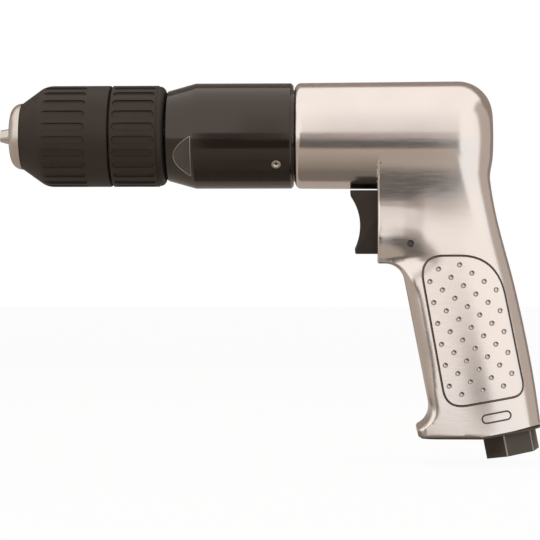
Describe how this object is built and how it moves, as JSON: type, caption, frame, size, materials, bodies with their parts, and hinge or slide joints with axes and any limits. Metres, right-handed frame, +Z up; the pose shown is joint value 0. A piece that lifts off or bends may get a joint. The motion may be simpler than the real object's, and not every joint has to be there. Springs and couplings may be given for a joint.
{
  "type": "air drill",
  "caption": "Pistol-grip pneumatic drill: polished grip housing, black gear case, keyless jaw chuck that opens with its sleeve, sliding trigger, threaded air inlet in the foot.",
  "frame": {"origin": "on the spindle axis at the front of the chuck's nose, where a bit goes in", "axes": "+X back along the spindle towards the grip, -X out of the chuck, +Y across the drill, +Z up, away from the grip"},
  "size_m": [0.2284, 0.0462, 0.159],
  "materials": {
    "cast_aluminium": "polished casting",
    "black_case": "black satin",
    "chuck_plastic": "moulded, matte",
    "bright_steel": "turned and ground",
    "dark_steel": "blackened",
    "trigger_plastic": "moulded, satin",
    "black_steel": "black oxide",
    "valve_brass": "turned",
    "seal_rubber": "moulded",
    "felt": "pressed fibre",
    "vane_composite": "resin and fibre",
    "gear_steel": "machined"
  },
  "bodies": {
    "housing": {"housing": "cast_aluminium", "gear_case": "black_case", "grease_fitting": "bright_steel", "ring_gear": "gear_steel", "ring_gear_spacer": "gear_steel", "spindle_seal": "seal_rubber", "front_spindle_bearing": "gear_steel", "rear_spindle_bearing": "gear_steel", "bearing_spacer": "gear_steel", "bearing_snap_ring": "dark_steel", "motor_cylinder": "gear_steel", "cylinder_dowel": "dark_steel", "front_end_plate": "gear_steel", "rear_end_plate": "gear_steel", "motor_gasket": "felt", "front_rotor_bearing": "gear_steel", "rear_rotor_bearing": "gear_steel", "trigger_pin": "dark_steel", "valve_seat": "valve_brass", "valve_spring": "gear_steel", "inlet_screen": "gear_steel", "inlet_bushing": "black_steel", "exhaust_silencer": "felt", "exhaust_deflector": "black_steel"},
    "spindle": {"spindle": "gear_steel", "output_planet_pins": "gear_steel", "front_spindle_race": "gear_steel", "rear_spindle_race": "gear_steel", "chuck_body": "dark_steel", "nose_ring": "bright_steel", "rear_sleeve": "chuck_plastic", "nut_bearing": "dark_steel", "chuck_screw": "dark_steel"},
    "chuck_sleeve": {"front_sleeve": "chuck_plastic", "jaw_nut": "dark_steel"},
    "jaw_1": {"jaw_1": "bright_steel"},
    "jaw_2": {"jaw_2": "bright_steel"},
    "jaw_3": {"jaw_3": "bright_steel"},
    "gear_head": {"gear_head": "gear_steel", "input_planet_pins": "gear_steel"},
    "rotor": {"rotor": "gear_steel", "vane_1": "vane_composite", "vane_2": "vane_composite", "vane_3": "vane_composite", "vane_4": "vane_composite", "vane_5": "vane_composite", "front_rotor_race": "gear_steel", "rear_rotor_race": "gear_steel"},
    "trigger": {"trigger": "trigger_plastic"},
    "throttle_valve": {"throttle_valve": "valve_brass"},
    "output_planet_1": {"output_planet_1": "gear_steel"},
    "input_planet_1": {"input_planet_1": "gear_steel"},
    "output_planet_2": {"output_planet_2": "gear_steel"},
    "input_planet_2": {"input_planet_2": "gear_steel"},
    "output_planet_3": {"output_planet_3": "gear_steel"},
    "input_planet_3": {"input_planet_3": "gear_steel"}
  },
  "joints": [
    {"name": "spindle_spin", "type": "hinge", "parent": "housing", "child": "spindle", "pos_m": [0, 0, 0], "axis": [1, 0, 0], "continuous": true},
    {"name": "gear_head_spin", "type": "hinge", "parent": "housing", "child": "gear_head", "pos_m": [0, 0, 0], "axis": [1, 0, 0], "continuous": true},
    {"name": "rotor_spin", "type": "hinge", "parent": "housing", "child": "rotor", "pos_m": [0, 0, 0], "axis": [1, 0, 0], "continuous": true},
    {"name": "output_planet_1_spin", "type": "hinge", "parent": "spindle", "child": "output_planet_1", "pos_m": [0.11, 0, -0.00945], "axis": [1, 0, 0], "continuous": true},
    {"name": "input_planet_1_spin", "type": "hinge", "parent": "gear_head", "child": "input_planet_1", "pos_m": [0.11, 0, -0.00945], "axis": [1, 0, 0], "continuous": true},
    {"name": "output_planet_2_spin", "type": "hinge", "parent": "spindle", "child": "output_planet_2", "pos_m": [0.11, 0.00818, 0.00473], "axis": [1, 0, 0], "continuous": true},
    {"name": "input_planet_2_spin", "type": "hinge", "parent": "gear_head", "child": "input_planet_2", "pos_m": [0.11, 0.00818, 0.00473], "axis": [1, 0, 0], "continuous": true},
    {"name": "output_planet_3_spin", "type": "hinge", "parent": "spindle", "child": "output_planet_3", "pos_m": [0.11, -0.00818, 0.00473], "axis": [1, 0, 0], "continuous": true},
    {"name": "input_planet_3_spin", "type": "hinge", "parent": "gear_head", "child": "input_planet_3", "pos_m": [0.11, -0.00818, 0.00473], "axis": [1, 0, 0], "continuous": true},
    {"name": "sleeve_turn", "type": "hinge", "parent": "spindle", "child": "chuck_sleeve", "pos_m": [0.02, 0, 0], "axis": [-1, 0, 0], "range_deg": [0, 5651]},
    {"name": "jaw_1_slide", "type": "slide", "parent": "spindle", "child": "jaw_1", "axis": [0.9659, 0, -0.2588], "range_m": [0, 0.02511]},
    {"name": "jaw_2_slide", "type": "slide", "parent": "spindle", "child": "jaw_2", "axis": [0.9659, 0.2241, 0.1294], "range_m": [0, 0.02511]},
    {"name": "jaw_3_slide", "type": "slide", "parent": "spindle", "child": "jaw_3", "axis": [0.9659, -0.2241, 0.1294], "range_m": [0, 0.02511]},
    {"name": "trigger_pull", "type": "slide", "parent": "housing", "child": "trigger", "axis": [1, 0, 0], "range_m": [0, 0.0045], "stiffness_N_per_m": 1200, "springref_m": -0.003},
    {"name": "throttle_tilt", "type": "hinge", "parent": "housing", "child": "throttle_valve", "pos_m": [0.19166, 0, -0.06112], "axis": [0, 1, 0], "range_deg": [0, 12.5], "deforming": ["valve_spring"]}
  ],
  "couplings": [
    {"joint": "gear_head_spin", "follows": "spindle_spin", "ratio": 6},
    {"joint": "rotor_spin", "follows": "spindle_spin", "ratio": 36},
    {"joint": "output_planet_1_spin", "follows": "spindle_spin", "ratio": -2.5},
    {"joint": "input_planet_1_spin", "follows": "spindle_spin", "ratio": -15},
    {"joint": "jaw_1_slide", "follows": "sleeve_turn", "m_per_rad": 0.00025465},
    {"joint": "output_planet_2_spin", "follows": "spindle_spin", "ratio": -2.5},
    {"joint": "input_planet_2_spin", "follows": "spindle_spin", "ratio": -15},
    {"joint": "jaw_2_slide", "follows": "sleeve_turn", "m_per_rad": 0.00025465},
    {"joint": "output_planet_3_spin", "follows": "spindle_spin", "ratio": -2.5},
    {"joint": "input_planet_3_spin", "follows": "spindle_spin", "ratio": -15},
    {"joint": "jaw_3_slide", "follows": "sleeve_turn", "m_per_rad": 0.00025465},
    {"joint": "throttle_tilt", "follows": "trigger_pull", "rad_per_m": 46.542}
  ]
}
